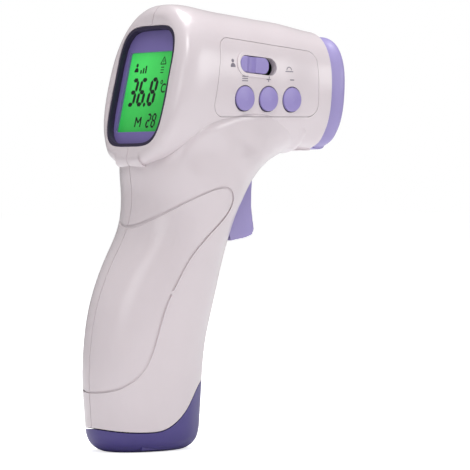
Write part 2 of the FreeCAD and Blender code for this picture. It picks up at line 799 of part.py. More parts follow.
def top_contact(y, x):
    plate = box(-5, 5, y - 5, y + 5, 51.1, 51.6)
    leaf = cylinder(2.6, 50.5, 51.1, 0, y) if x else cylinder(4.0, 49.25, 51.1, 0, y)
    return moved(plate.fuse(leaf), handle_frame())


def battery_cap(outer, inner):
    half = outer.cut(inner).common(cap_block(-CAP_GAP / 2))
    x0, x1, y0, y1 = TONGUE
    half = half.fuse(box(x0, x1, y0, y1, 1.0, 13.5))
    return half.fuse(mirrored(half))


def cap_contact():
    plate = box(-4.0, 4.0, -12.0, 11.0, WALL, WALL + 0.5)
    front = Part.makeCone(3.6, 2.0, 3.6, Vector(0, 7.2, WALL + 0.5))
    rear = Part.makeCone(3.6, 2.0, 4.5, Vector(0, -8.0, WALL + 0.5))
    return plate.fuse([front, rear])


# ---- leads --------------------------------------------------------------------
LEAD_R = 0.55
LEADS = {
    "battery_lead_plus": [(3, 14.7, 60.15), (3, 14.7, 101.95), (3, 4.75, 104.25)],
    "battery_lead_minus": [(-3, 8.0, 61.05), (-3, 8.0, 103.49), (-3, 4.75, 104.25)],
    "sensor_lead": [(-5, 55.9, 116.3), (-5, 30.0, 109.0), (-5, 16.8, 103.6), (-5, 5.15, 106.29)],
    "key_lead": [(10.6, 22.2, 120.9), (6.4, 21.73, 120.9), (8, 16.6, 111.85), (8, 6.95, 114.08)],
}


def lead(points, bend, radius):
    """Round wire along a line of points, with its corners rounded to bend."""
    edges = []
    start = points[0]
    for before, corner, after in zip(points, points[1:], points[2:]):
        to_before = (before - corner).normalize()
        to_after = (after - corner).normalize()
        half_angle = to_before.getAngle(to_after) / 2
        run = bend / math.tan(half_angle)
        first = corner + to_before * run
        last = corner + to_after * run
        bisector = (to_before + to_after).normalize()
        centre = corner + bisector * (bend / math.sin(half_angle))
        crown = centre - bisector * bend
        edges.append(Part.LineSegment(start, first).toShape())
        edges.append(Part.Arc(first, crown, last).toShape())
        start = last
    edges.append(Part.LineSegment(start, points[-1]).toShape())
    path = Part.Wire(edges)
    direction = (points[1] - points[0]).normalize()
    section = Part.Wire(Part.makeCircle(radius, points[0], direction))
    return path.makePipeShell([section], True, False)


# ---- build --------------------------------------------------------------------
def build_parts():
    outer = outer_half()
    inner = body_half(WALL)
    base = fit_half(shell_half(outer, inner), outer)
    parts = {
        "right_shell": right_shell(base),
        "left_shell": left_shell(base),
        "nose_ring": nose_ring(),
        "sensor_shroud": sensor_shroud(),
        "sensor_holder": sensor_holder(),
        "thermopile_can": thermopile_can(),
        "sensor_window": sensor_window(),
        "sensor_board": sensor_board(),
        "display_bezel": display_bezel(),
        "lcd_glass": lcd_glass(),
        "backlight": backlight(),
        "zebra_strip_upper": zebra_strip(1),
        "zebra_strip_lower": zebra_strip(-1),
        "main_board": main_board(),
        "controller_chip": controller_chip(),
        "buzzer": buzzer(),
        "crystal": crystal(),
        "control_panel": control_panel(outer),
        "key_board": key_board(),
        "slide_knob": slide_knob(),
        "slide_switch": slide_switch(),
        "trigger": trigger(),
        "trigger_pin": trigger_pin(),
        "trigger_plunger": trigger_plunger(),
        "trigger_switch": trigger_switch(),
        "trigger_board": trigger_board(),
        "battery_cradle": battery_cradle(),
        "cell_front": cell(CELL_SPACING, True),
        "cell_rear": cell(-CELL_SPACING, False),
        "contact_front": top_contact(CELL_SPACING, True),
        "contact_rear": top_contact(-CELL_SPACING, False),
        "battery_cap": battery_cap(outer, inner),
        "cap_contact": cap_contact(),
    }
    for name, y in BUTTONS.items():
        parts[name] = button(y)
        parts[name.replace("button", "switch")] = key_switch(y)
    for name, points in LEADS.items():
        parts[name] = lead([Vector(*point) for point in points], 1.4, LEAD_R)
    for number, (y, z) in enumerate(SCREWS, 1):
        parts["case_screw_%d" % number] = case_screw(y, z)
    return parts


def main():
    os.makedirs("parts", exist_ok=True)
    for name, shape in build_parts().items():
        shape.exportStep("parts/%s.step" % name)
        print(name, len(shape.Solids), shape.isValid(), round(shape.Volume, 1))


main()
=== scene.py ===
"""Infrared forehead thermometer: finishes, printed marks, display, springs and studio."""
import json
import math

import bmesh
import bpy
from mathutils import Matrix, Vector
from mathutils.bvhtree import BVHTree


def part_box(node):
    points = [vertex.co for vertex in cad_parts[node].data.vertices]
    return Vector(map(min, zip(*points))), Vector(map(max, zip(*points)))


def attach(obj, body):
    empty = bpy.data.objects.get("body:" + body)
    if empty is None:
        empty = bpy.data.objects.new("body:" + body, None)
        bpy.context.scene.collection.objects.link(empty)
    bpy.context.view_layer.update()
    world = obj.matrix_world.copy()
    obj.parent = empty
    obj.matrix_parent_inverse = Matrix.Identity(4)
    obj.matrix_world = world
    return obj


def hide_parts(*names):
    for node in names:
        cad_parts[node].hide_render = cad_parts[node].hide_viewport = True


bl_info = {
    "name": "Infrared forehead thermometer",
    "version": (1, 0, 0),
    "blender": (4, 5, 0),
    "location": "View3D > Sidebar > Thermometer",
    "description": "Finishes a packed thermometer and sets its studio",
    "category": "Object",
}

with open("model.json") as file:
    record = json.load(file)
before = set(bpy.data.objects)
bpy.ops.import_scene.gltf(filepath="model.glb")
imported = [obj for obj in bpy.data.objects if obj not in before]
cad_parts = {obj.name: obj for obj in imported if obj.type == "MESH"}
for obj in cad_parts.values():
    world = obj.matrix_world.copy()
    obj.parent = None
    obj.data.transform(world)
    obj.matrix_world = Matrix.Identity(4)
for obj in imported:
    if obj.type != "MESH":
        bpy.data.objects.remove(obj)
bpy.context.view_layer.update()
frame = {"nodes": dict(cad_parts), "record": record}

MM = 0.001
UP = Vector((0, 0, 1))
LENS_SENSOR = 36.0
NEAR_CLIP = 0.05
FLOOR_REACH = 6.0               # from the floor's middle to its edge
FLOOR_GLOW = 0.75               # strength of the floor's own light, for the camera alone
LIGHT_TARGET = Vector((0, 0.02, 0.08))
# name, place, diameter, and power as a multiple of the key power
LIGHTS = (
    ("key", (0.66, -0.40, 1.0), 0.45, 0.72),
    ("edge", (0.62, -0.92, 0.55), 0.60, 0.28),
    ("nose", (0.85, 0.75, 0.40), 0.5, 0.45),
    ("top", (-0.1, 0.1, 1.1), 0.8, 2.1),
)

PLASTIC_IOR = 1.53
FLOW_SIZE = 26                  # millimetres between drifts of a moulding's colour
HANDLED_SIZE = 9                # millimetres across a patch polished by handling

# printed marks
LONGEST_EDGE = 0.7 * MM         # a longer one is halved so that it follows its surface
CAST_HEIGHT = 5 * MM
MARK_LIFT = 0.004 * MM

# painted shade lining the display window's rim and wall: its section is (inward from the
# opening, above the glass), in millimetres
OPENING_HALF = (16.25, 20.8)
OPENING_MIDDLE = 1.4            # above the glass's middle
FACE = 3.05                     # display face above the glass
SHADE_LINING_SECTION = ((0.16, FACE - 0.16), (1.16, FACE - 0.16), (1.16, FACE - 2.15),
                  (1.06, FACE - 2.15), (1.06, FACE - 0.27), (0.16, FACE - 0.27))

# dark rings painted as the shadow in the gap round each button
GAP_SHADOW_RADIUS = 4.25 * MM
GAP_SHADOW_WIDTH = 0.2 * MM
GAP_SHADOW_BELOW_DOME = 1.48 * MM
GAP_SHADOW_FORWARD = 0.35 * MM        # from the middle of a button's box to its axis

# cell springs
PLATE_THICKNESS = 0.5 * MM
PLATE_ROUND = 0.15 * MM
SPRINGS = ((7.2 * MM, 3.7 * MM), (-8.0 * MM, 4.6 * MM))     # place along Y, and height
WIRE_RADIUS = 0.32 * MM
COIL_RADIUS = 3.2 * MM
COIL_TURNS = 4
STEPS_PER_TURN = 24
NARROWING = 0.45                # share of the coil's radius lost from foot to tip


# ---- places taken from the frame ----------------------------------------------
def box_middle(node):
    low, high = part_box(node)
    return (low + high) / 2


def rotation(x_axis, y_axis, z_axis):
    return Matrix((x_axis, y_axis, z_axis)).transposed().to_4x4()


def display_place(sizes):
    """Frame on the front of the display glass: x right, y up, z out."""
    lean = sizes.display_lean
    out = Vector((0, -math.cos(lean), math.sin(lean)))
    upward = Vector((0, math.sin(lean), math.cos(lean)))
    front = box_middle("lcd_glass") + out * sizes.glass_thickness / 2
    return Matrix.Translation(front) @ rotation(Vector((1, 0, 0)), upward, out)


def panel_axes(sizes):
    """Forward along the control side, and straight out of it."""
    taper = sizes.side_taper
    return (Vector((-math.sin(taper), math.cos(taper), 0)),
            Vector((math.cos(taper), math.sin(taper), 0)))


def panel_place(sizes):
    """Frame on the control side, at the middle button: x forward, y up, z out."""
    forward, out = panel_axes(sizes)
    return Matrix.Translation(box_middle("plus_button")) @ rotation(forward, UP, out)


# ---- materials ----------------------------------------------------------------
def linear(colour):
    """Linear RGBA from an sRGB hex value."""
    channels = [int(colour[i:i + 2], 16) / 255 for i in (1, 3, 5)]
    return tuple(c / 12.92 if c <= 0.04045 else ((c + 0.055) / 1.055) ** 2.4
                 for c in channels) + (1.0,)


def add_node(tree, kind, settings=None, inputs=None):
    """Adds a node; an input value that is a socket is linked."""
    item = tree.nodes.new("ShaderNode" + kind)
    for key, value in (settings or {}).items():
        setattr(item, key, value)
    for key, value in (inputs or {}).items():
        if isinstance(value, bpy.types.NodeSocket):
            tree.links.new(value, item.inputs[key])
        else:
            item.inputs[key].default_value = value
    return item


def new_material(name):
    material = bpy.data.materials.new(name)
    material.use_nodes = True
    tree = material.node_tree
    shader = tree.nodes["Principled BSDF"]
    place = add_node(tree, "TexCoord").outputs["Object"]
    return material, tree, shader, place


def per_metre(size_mm):
    """Noise scale that gives features of a size."""
    return 1.0 / (size_mm * MM)


def ramp(tree, factor, stops):
    item = add_node(tree, "ValToRGB", inputs={"Fac": factor})
    elements = item.color_ramp.elements
    for element, (position, colour) in zip(elements, stops):
        element.position = position
        element.color = colour
    return item.outputs["Color"]


def moulded(name, colour, shade, roughness, grain_mm, depth_mm, coat=0.0, subsurface=0.0):
    """Injection-moulded plastic: even colour that drifts a little along the flow, a fine
    spark-eroded grain from the tool, and roughness that handling has polished in patches."""
    material, tree, shader, place = new_material(name)
    flow = add_node(tree, "TexNoise", inputs={"Vector": place, "Scale": per_metre(FLOW_SIZE),
                                              "Detail": 2.0, "Roughness": 0.5})
    tint = add_node(tree, "Mix", {"data_type": "RGBA"},
                    {"Factor": flow.outputs["Fac"], "A": linear(colour), "B": linear(shade)})
    handled = add_node(tree, "TexNoise", inputs={
        "Vector": place, "Scale": per_metre(HANDLED_SIZE), "Detail": 4.0, "Roughness": 0.6})
    rough = add_node(tree, "MapRange", inputs={
        "Value": handled.outputs["Fac"], "From Min": 0.3, "From Max": 0.7,
        "To Min": roughness - 0.02, "To Max": roughness + 0.03})
    grain = add_node(tree, "TexNoise", inputs={"Vector": place, "Scale": per_metre(grain_mm),
                                               "Detail": 3.0, "Roughness": 0.55})
    bump = add_node(tree, "Bump", inputs={"Height": grain.outputs["Fac"], "Strength": 0.5,
                                          "Distance": depth_mm * MM})
    tree.links.new(tint.outputs["Result"], shader.inputs["Base Color"])
    tree.links.new(rough.outputs["Result"], shader.inputs["Roughness"])
    tree.links.new(bump.outputs["Normal"], shader.inputs["Normal"])
    shader.inputs["IOR"].default_value = PLASTIC_IOR
    shader.inputs["Coat Weight"].default_value = coat
    shader.inputs["Coat Roughness"].default_value = 0.18
    shader.inputs["Subsurface Weight"].default_value = subsurface
    shader.inputs["Subsurface Radius"].default_value = (0.0012, 0.001, 0.0009)
    shader.inputs["Subsurface Scale"].default_value = 1.0
    return material


def turned_metal(name, colour, roughness, line_mm, stretch):
    """Metal that was turned, stamped or drawn: fine lines one way that break up its shine."""
    material, tree, shader, place = new_material(name)
    lined = add_node(tree, "Mapping", inputs={"Vector": place, "Scale": stretch})
    lines = add_node(tree, "TexNoise", inputs={"Vector": lined.outputs["Vector"],
                                               "Scale": per_metre(line_mm), "Detail": 3.0})
    rough = add_node(tree, "MapRange", inputs={
        "Value": lines.outputs["Fac"], "From Min": 0.3, "From Max": 0.7,
        "To Min": roughness * 0.7, "To Max": roughness * 1.4})
    stain = add_node(tree, "TexNoise", inputs={"Vector": place, "Scale": per_metre(5)})
    dark = tuple(c * 0.8 for c in linear(colour)[:3]) + (1.0,)
    tone = add_node(tree, "Mix", {"data_type": "RGBA"},
                    {"Factor": stain.outputs["Fac"], "A": linear(colour), "B": dark})
    bump = add_node(tree, "Bump", inputs={"Height": lines.outputs["Fac"], "Strength": 0.4,
                                          "Distance": 0.01 * MM})
    tree.links.new(tone.outputs["Result"], shader.inputs["Base Color"])
    tree.links.new(rough.outputs["Result"], shader.inputs["Roughness"])
    tree.links.new(bump.outputs["Normal"], shader.inputs["Normal"])
    shader.inputs["Metallic"].default_value = 1.0
    return material


def solder_mask(name):
    """Glass-epoxy board under green lacquer: a woven ground, copper tracks showing as a
    lighter green, and a wet gloss."""
    material, tree, shader, place = new_material(name)
    tracks = add_node(tree, "TexBrick", {"offset": 0.37, "squash": 1.0}, {
        "Vector": place, "Color1": linear("#0f5a2e"), "Color2": linear("#0c4a26"),
        "Mortar": linear("#2c8a4b"), "Scale": per_metre(6), "Mortar Size": 0.04})
    weave = add_node(tree, "TexNoise", inputs={"Vector": place, "Scale": per_metre(0.6)})
    bump = add_node(tree, "Bump", inputs={"Height": weave.outputs["Fac"], "Strength": 0.3,
                                          "Distance": 0.02 * MM})
    tree.links.new(tracks.outputs["Color"], shader.inputs["Base Color"])
    tree.links.new(bump.outputs["Normal"], shader.inputs["Normal"])
    shader.inputs["Roughness"].default_value = 0.32
    shader.inputs["Coat Weight"].default_value = 0.4
    return material


def lit_display(name, sizes):
    """Liquid crystal cell lit from behind: green that glows brightest near its lamp at the
    upper left, under the satin of its polarising film."""
    material, tree, shader, place = new_material(name)
    lamp = display_place(sizes) @ Vector((-0.008, 0.011, 0))
    centred = add_node(tree, "Mapping", {"vector_type": "TEXTURE"},
                       {"Vector": place, "Location": lamp, "Scale": (0.034, 0.034, 0.034)})
    glow = add_node(tree, "TexGradient", {"gradient_type": "SPHERICAL"},
                    {"Vector": centred.outputs["Vector"]})
    haze = add_node(tree, "TexNoise", inputs={"Vector": place, "Scale": per_metre(7),
                                              "Detail": 2.0})
    mixed = add_node(tree, "MapRange", inputs={
        "Value": haze.outputs["Fac"], "From Min": 0.3, "From Max": 0.7,
        "To Min": -0.04, "To Max": 0.04})
    light = add_node(tree, "Math", {"operation": "ADD"},
                     {0: glow.outputs["Fac"], 1: mixed.outputs["Result"]})
    green = ramp(tree, light.outputs["Value"],
                 [(0.0, linear(sizes.lcd_dim)), (0.85, linear(sizes.lcd_bright))])
    tree.links.new(green, shader.inputs["Base Color"])
    tree.links.new(green, shader.inputs["Emission Color"])
    shader.inputs["Emission Strength"].default_value = 0.45
    shader.inputs["Roughness"].default_value = 0.34
    shader.inputs["Coat Weight"].default_value = 0.5
    shader.inputs["Coat Roughness"].default_value = 0.08
    return material


def coated_filter(name):
    """Silicon window with an interference coating: dark, mirror-smooth, with a faint drift
    of violet."""
    material, tree, shader, place = new_material(name)
    drift = add_node(tree, "TexNoise", inputs={"Vector": place, "Scale": per_metre(3)})
    colour = ramp(tree, drift.outputs["Fac"],
                  [(0.3, linear("#241c33")), (0.7, linear("#3a2c40"))])
    tree.links.new(colour, shader.inputs["Base Color"])
    shader.inputs["Roughness"].default_value = 0.08
    shader.inputs["Metallic"].default_value = 0.6
    return material


def printed_ink(name, colour, roughness):
    """Pad-printed ink: matt, a little uneven where the film is thin."""
    material, tree, shader, place = new_material(name)
    film = add_node(tree, "TexNoise", inputs={"Vector": place, "Scale": per_metre(0.8),
                                              "Detail": 3.0})
    pale = tuple(min(1.0, c * 1.35 + 0.004) for c in linear(colour)[:3]) + (1.0,)
    tone = add_node(tree, "Mix", {"data_type": "RGBA"},
                    {"Factor": film.outputs["Fac"], "A": linear(colour), "B": pale})
    tree.links.new(tone.outputs["Result"], shader.inputs["Base Color"])
    shader.inputs["Roughness"].default_value = roughness
    return material


def cell_film(name, sizes):
    """Shrink film on a dry cell: a dark body and a copper band at one end, glossy, with
    fine wrinkles round it."""
    material, tree, shader, place = new_material(name)
    low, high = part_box("cell_front")
    level = add_node(tree, "SeparateXYZ", inputs={"Vector": place})
    share = add_node(tree, "MapRange", inputs={
        "Value": level.outputs["Z"], "From Min": low.z, "From Max": high.z})
    band = ramp(tree, share.outputs["Result"],
                [(0.695, linear("#1b2740")), (0.70, linear("#b5713a"))])
    wrinkle = add_node(tree, "TexNoise", inputs={"Vector": place, "Scale": per_metre(2.5),
                                                 "Detail": 3.0})
    bump = add_node(tree, "Bump", inputs={"Height": wrinkle.outputs["Fac"], "Strength": 0.3,
                                          "Distance": 0.06 * MM})
    tree.links.new(band, shader.inputs["Base Color"])
    tree.links.new(bump.outputs["Normal"], shader.inputs["Normal"])
    shader.inputs["Roughness"].default_value = 0.24
    shader.inputs["Coat Weight"].default_value = 0.5
    return material


def make_materials(sizes):
    """One material for each slot of the record, and the inks."""
    return {
        # ABS, moulded in a polished and lightly blasted tool: warm white, soft sheen
        "shell_white": moulded("moulded_abs_white", sizes.shell_colour, "#d3c8cc", 0.30,
                               0.6, 0.004, coat=0.45, subsurface=0.05),
        # ABS, spark-eroded tool: lavender, satin
        "accent_violet": moulded("moulded_abs_lavender", sizes.accent_colour, "#8b7fbb", 0.40,
                                 0.35, 0.012, coat=0.10),
        # ABS buttons: the same colour, a finer grain that fingers have polished
        "button_violet": moulded("moulded_abs_keys", sizes.button_colour, "#8d80bd", 0.38,
                                 0.25, 0.010, coat=0.10),
        # ABS cap: a deeper violet batch
        "cap_violet": moulded("moulded_abs_deep_violet", sizes.cap_colour, "#40357a", 0.40,
                               0.35, 0.012, coat=0.10),
        # ABS bezel: satin, a deeper violet than the ring
        "bezel_violet": moulded("moulded_abs_bezel", sizes.bezel_colour, "#6f629e", 0.42,
                                0.30, 0.010),
        "lcd": lit_display("liquid_crystal_cell", sizes),
        # acrylic light guide: milky green
        "backlight": moulded("acrylic_light_guide", "#5be07c", "#49c96b", 0.30, 1.2, 0.02),
        # carbon-loaded silicone: matt black with fine lines
        "zebra": moulded("carbon_silicone", "#232326", "#151517", 0.60, 0.5, 0.03),
        "circuit_board": solder_mask("lacquered_epoxy_board"),
        # filled nylon: near-black, eggshell
        "black_plastic": moulded("moulded_black_nylon", "#1d1d20", "#131315", 0.45, 0.5, 0.02),
        # blackened polycarbonate baffle: matt so that it throws no stray light
        "sensor_black": moulded("blackened_polycarbonate", "#17171a", "#0f0f11", 0.62, 0.3,
                                0.02),
        # drawn steel: bright, fine lines along it
        "steel": turned_metal("drawn_steel", "#b9b9bb", 0.28, 0.4, (0.08, 1, 1)),
        # nickel plate on stamped brass
        "nickel": turned_metal("nickel_plate", "#cfcac0", 0.22, 0.5, (1, 1, 0.15)),
        # turned brass: warm, with rings round it
        "brass": turned_metal("turned_brass", "#c9a35a", 0.26, 0.35, (1, 1, 1)),
        "cell_wrap": cell_film("shrink_film", sizes),
        "sensor_filter": coated_filter("coated_silicon"),
        # PVC lead insulation: satin
        "lead_red": moulded("pvc_red", "#a81f1a", "#8f1915", 0.42, 0.6, 0.01),
        "lead_black": moulded("pvc_black", "#18181a", "#111113", 0.42, 0.6, 0.01),
        "lead_white": moulded("pvc_white", "#dedcd8", "#cfccc6", 0.42, 0.6, 0.01),
    }


# ---- flat marks ---------------------------------------------------------------
SEGMENTS = {
    "0": "abcdef", "1": "bc", "2": "abged", "3": "abgcd", "4": "fgbc", "5": "afgcd",
    "6": "afgedc", "7": "abc", "8": "abcdefg", "9": "abcdfg",
}


def bar(bm, start, end, width, blunt=0.5):
    """Flat bar with pointed ends between two places."""
    start, end = Vector(start), Vector(end)
    along = (end - start).normalized()
    side = Vector((-along.y, along.x)) * width / 2
    tip = along * width * blunt
    outline = [start, start + tip + side, end - tip + side, end, end - tip - side,
               start + tip - side]
    bm.faces.new([bm.verts.new((p.x, p.y, 0)) for p in reversed(outline)])


def disc(bm, centre, radius, points=24, squeeze=(1.0, 1.0)):
    made = bmesh.ops.create_circle(bm, cap_ends=True, segments=points, radius=radius)
    bmesh.ops.scale(bm, vec=(squeeze[0], squeeze[1], 1), verts=made["verts"])
    bmesh.ops.translate(bm, vec=(centre[0], centre[1], 0), verts=made["verts"])
    return made["verts"]


def hoop(bm, centre, radius, width, start=0.0, turn=math.tau, points=20):
    """Flat arc of even width."""
    inner = radius - width / 2
    outer = radius + width / 2
    full = abs(turn - math.tau) < 1e-6
    line = [bm.verts.new((centre[0] + r * math.cos(start), centre[1] + r * math.sin(start), 0))
            for r in (inner, outer)]
    edge = bm.edges.new(line)
    bmesh.ops.spin(bm, geom=[edge] + line, cent=(centre[0], centre[1], 0), axis=(0, 0, 1),
                   dvec=(0, 0, 0), angle=turn, steps=points, use_merge=full,
                   use_duplicate=False)


def digit(bm, figure, x, y, width, height, stroke, slant):
    """Seven-segment figure with its lower left corner at x, y."""
    half = height / 2
    gap = stroke * 0.10
    corners = {
        "a": ((0, height), (width, height)), "g": ((0, half), (width, half)),
        "d": ((0, 0), (width, 0)), "f": ((0, half), (0, height)),
        "b": ((width, half), (width, height)), "e": ((0, 0), (0, half)),
        "c": ((width, 0), (width, half)),
    }
    for name in SEGMENTS[figure]:
        ends = []
        first, last = (Vector(p) for p in corners[name])
        step = (last - first).normalized() * gap
        for point in (first + step, last - step):
            ends.append((x + point.x + slant * point.y, y + point.y))
        bar(bm, ends[0], ends[1], stroke)


def person_mark(bm, x, y, height):
    """Head and shoulders."""
    disc(bm, (x, y + height * 0.78), height * 0.2)
    verts = disc(bm, (x, y + height * 0.12), height * 0.36, squeeze=(1.0, 1.15))
    bmesh.ops.bisect_plane(
        bm, geom=verts + list({e for v in verts for e in v.link_edges})
        + list({f for v in verts for f in v.link_faces}),
        plane_co=(x, y + height * 0.06, 0), plane_no=(0, -1, 0), clear_outer=True)


def block_mark(bm, x, y, width, height):
    """A thing on a line: the mark for a surface reading."""
    bar(bm, (x - width / 2, y), (x + width / 2, y), height * 0.13, 0.0)
    hoop(bm, (x, y + height * 0.16), height * 0.42, height * 0.12, 0.0, math.pi, 14)


def finish_mark(bm, name, material, place, thickness, body, surface=None):
    """Gives flat marks a thickness and lays them on their surface."""
    bmesh.ops.remove_doubles(bm, verts=bm.verts, dist=1e-7)
    bmesh.ops.transform(bm, matrix=place, verts=bm.verts)
    out = place.to_3x3() @ UP
    if surface is not None:
        long_edges = [e for e in bm.edges if e.calc_length() > LONGEST_EDGE]
        bmesh.ops.subdivide_edges(bm, edges=long_edges, cuts=1)
        for vert in bm.verts:
            hit = surface.ray_cast(vert.co + out * CAST_HEIGHT, -out)[0]
            if hit is not None:
                vert.co = hit + out * MARK_LIFT
    faces = list(bm.faces)
    for face in faces:
        face.normal_update()
        if face.normal.dot(out) < 0:
            face.normal_flip()
    made = bmesh.ops.extrude_face_region(bm, geom=faces)
    raised = [g for g in made["geom"] if isinstance(g, bmesh.types.BMVert)]
    bmesh.ops.translate(bm, vec=out * thickness, verts=raised)
    bmesh.ops.recalc_face_normals(bm, faces=bm.faces)
    return finish_piece(bm, name, material, body)


def finish_piece(bm, name, material, body, smooth=False):
    mesh = bpy.data.meshes.new(name)
    bm.to_mesh(mesh)
    bm.free()
    for polygon in mesh.polygons:
        polygon.use_smooth = smooth
    mesh.materials.append(material)
    piece = bpy.data.objects.new(name, mesh)
    bpy.context.scene.collection.objects.link(piece)
    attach(piece, body)
    return piece


def window_loop(bm, half_width, half_height, middle, z, points=64, power=4.5):
    """Ring of vertices on the outline of the display window."""
    ring = []
    for index in range(points):
        angle = math.tau * index / points
        x, y = math.cos(angle), math.sin(angle)
        ring.append(bm.verts.new((
            half_width * math.copysign(abs(x) ** (2 / power), x),
            middle + half_height * math.copysign(abs(y) ** (2 / power), y), z)))
    return ring


def painted_shade_lining(sizes, painted_shade_dark):
    """Thin dark lining round the display window: painted shade on its rim and inner wall."""
    bm = bmesh.new()
    loops = [window_loop(bm, (OPENING_HALF[0] - inward) * MM, (OPENING_HALF[1] - inward) * MM,
                         OPENING_MIDDLE * MM, z * MM) for inward, z in SHADE_LINING_SECTION]
    for first, second in zip(loops, loops[1:] + loops[:1]):
        for i in range(len(first)):
            bm.faces.new((first[i - 1], first[i], second[i], second[i - 1]))
    bmesh.ops.transform(bm, matrix=display_place(sizes), verts=bm.verts)
    bmesh.ops.recalc_face_normals(bm, faces=bm.faces)
    finish_piece(bm, "painted_shade_lining", painted_shade_dark, "housing")


def painted_gap_shadow_ring(name, sizes, painted_shade_dark):
    """Thin dark ring in the gap round a button: a painted shadow of the gap."""
    low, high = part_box(name + "_button")
    forward, out = panel_axes(sizes)
    # the dome's top sets the box's side, and the flange 3.1 mm lower sets its middle
    centre = Vector((high.x - GAP_SHADOW_BELOW_DOME, (low.y + high.y) / 2 + GAP_SHADOW_FORWARD,
                     (low.z + high.z) / 2))
    place = Matrix.Translation(centre) @ rotation(forward, UP, out)
    bm = bmesh.new()
    hoop(bm, (0, 0), GAP_SHADOW_RADIUS, GAP_SHADOW_WIDTH, points=48)
    finish_mark(bm, name + "_painted_gap_shadow", painted_shade_dark, place, GAP_SHADOW_WIDTH, "housing")


def contact_plate(bm, low, high):
    """Plate that the springs stand on, over the floor of the contact's box."""
    bmesh.ops.create_cube(bm, size=1.0)
    bmesh.ops.scale(bm, vec=(high.x - low.x, high.y - low.y, PLATE_THICKNESS), verts=bm.verts)
    bmesh.ops.bevel(bm, geom=bm.edges[:], offset=PLATE_ROUND, affect="EDGES", segments=2,
                    profile=0.5, material=-1)
    bmesh.ops.translate(bm, vec=((low.x + high.x) / 2, (low.y + high.y) / 2,
                                 low.z + PLATE_THICKNESS / 2), verts=bm.verts)


def wind_spring(bm, y, height, floor):
    """Conical spring of round wire, closed at both ends."""
    ring = bmesh.ops.create_circle(bm, segments=8, radius=WIRE_RADIUS)["verts"]
    bmesh.ops.rotate(bm, cent=(0, 0, 0), matrix=Matrix.Rotation(math.pi / 2, 3, "X"),
                     verts=ring)
    bmesh.ops.translate(bm, vec=(COIL_RADIUS, 0, WIRE_RADIUS), verts=ring)
    edges = list({e for v in ring for e in v.link_edges})
    before = set(bm.verts) - set(ring)
    steps = COIL_TURNS * STEPS_PER_TURN
    rise = (height - 2 * WIRE_RADIUS) / steps
    ends = bmesh.ops.spin(bm, geom=ring + edges, cent=(0, 0, 0), axis=(0, 0, 1),
                          dvec=(0, 0, rise), angle=math.tau * COIL_TURNS, steps=steps,
                          use_merge=False, use_duplicate=False)
    bmesh.ops.holes_fill(bm, edges=edges, sides=0)
    last = [g for g in ends["geom_last"] if isinstance(g, bmesh.types.BMEdge)]
    bmesh.ops.holes_fill(bm, edges=last, sides=0)
    for vert in bm.verts:
        if vert not in before:
            taper = 1.0 - NARROWING * min(1.0, max(0.0, vert.co.z / height))
            vert.co = Vector((vert.co.x * taper, vert.co.y * taper + y, vert.co.z + floor))


def node_surface(node):
    mesh = frame["nodes"][node].data
    return BVHTree.FromPolygons([v.co for v in mesh.vertices],
                                [p.vertices for p in mesh.polygons])


# ---- sizes and colours --------------------------------------------------------
class ThermometerSizes(bpy.types.PropertyGroup):
    """Sizes and colours that a user would change."""
    display_lean: bpy.props.FloatProperty(
        name="Display lean", description="How far the display face leans forward",
        default=math.radians(13.0), subtype="ANGLE")
    side_taper: bpy.props.FloatProperty(
        name="Side taper", description="How far the control side turns toward the nose",
        default=math.radians(6.4), subtype="ANGLE")
    glass_thickness: bpy.props.FloatProperty(
        name="Glass thickness", description="Thickness of the display glass",
        default=1.1 * MM, unit="LENGTH", precision=5)
    digit_height: bpy.props.FloatProperty(
        name="Digit height", description="Height of the reading",
        default=8.4 * MM, unit="LENGTH", precision=5)
    ink_thickness: bpy.props.FloatProperty(
        name="Ink thickness", description="Height of the printed marks",
        default=0.02 * MM, unit="LENGTH", precision=6)
    shell_colour: bpy.props.StringProperty(
        name="Shell colour", description="sRGB hex colour of the case", default="#dcd2d6")
    accent_colour: bpy.props.StringProperty(
        name="Accent colour", description="sRGB hex colour of ring and trigger",
        default="#a99fce")
    button_colour: bpy.props.StringProperty(
        name="Button colour", description="sRGB hex colour of the buttons", default="#9c90ca")
    cap_colour: bpy.props.StringProperty(
        name="Cap colour", description="sRGB hex colour of the battery cap",
        default="#483c85")
    bezel_colour: bpy.props.StringProperty(
        name="Bezel colour", description="sRGB hex colour round the display",
        default="#7b6fae")
    lcd_bright: bpy.props.StringProperty(
        name="Display bright", description="sRGB hex colour of the display near its lamp",
        default="#3cca58")
    lcd_dim: bpy.props.StringProperty(
        name="Display dim", description="sRGB hex colour of the display far from its lamp",
        default="#0d7f28")


class StudioSettings(bpy.types.PropertyGroup):
    """Camera and light."""
    azimuth: bpy.props.FloatProperty(
        name="Azimuth", description="Camera's turn from straight behind, to the right",
        default=math.radians(54.0), subtype="ANGLE")
    elevation: bpy.props.FloatProperty(
        name="Elevation", description="Camera's height above level",
        default=math.radians(1.0), subtype="ANGLE")
    distance: bpy.props.FloatProperty(
        name="Distance", description="Camera's distance", default=1.0, unit="LENGTH")
    lens: bpy.props.FloatProperty(
        name="Lens", description="Focal length in millimetres", default=224.6)
    aim: bpy.props.FloatVectorProperty(
        name="Aim", description="Place the camera looks at", default=(0.0, 0.0382, 0.0713),
        subtype="XYZ")
    key_power: bpy.props.FloatProperty(
        name="Key light", description="Power of the key light in watts", default=5.0)
    room_light: bpy.props.FloatProperty(
        name="Room light", description="Strength of the even light from the room",
        default=0.27)


# ---- operators ----------------------------------------------------------------
class THERMOMETER_OT_finishes(bpy.types.Operator):
    """Gives every node of the frame the finish of its slot"""
    bl_idname = "thermometer.finishes"
    bl_label = "Finishes"

    def execute(self, context):
        made = make_materials(context.scene.thermometer_sizes)
        for part in frame["record"]["subparts"]:
            item = frame["nodes"][part["node"]]
            item.data.materials.clear()
            item.data.materials.append(made[part["material_slot"]])
        return {"FINISHED"}


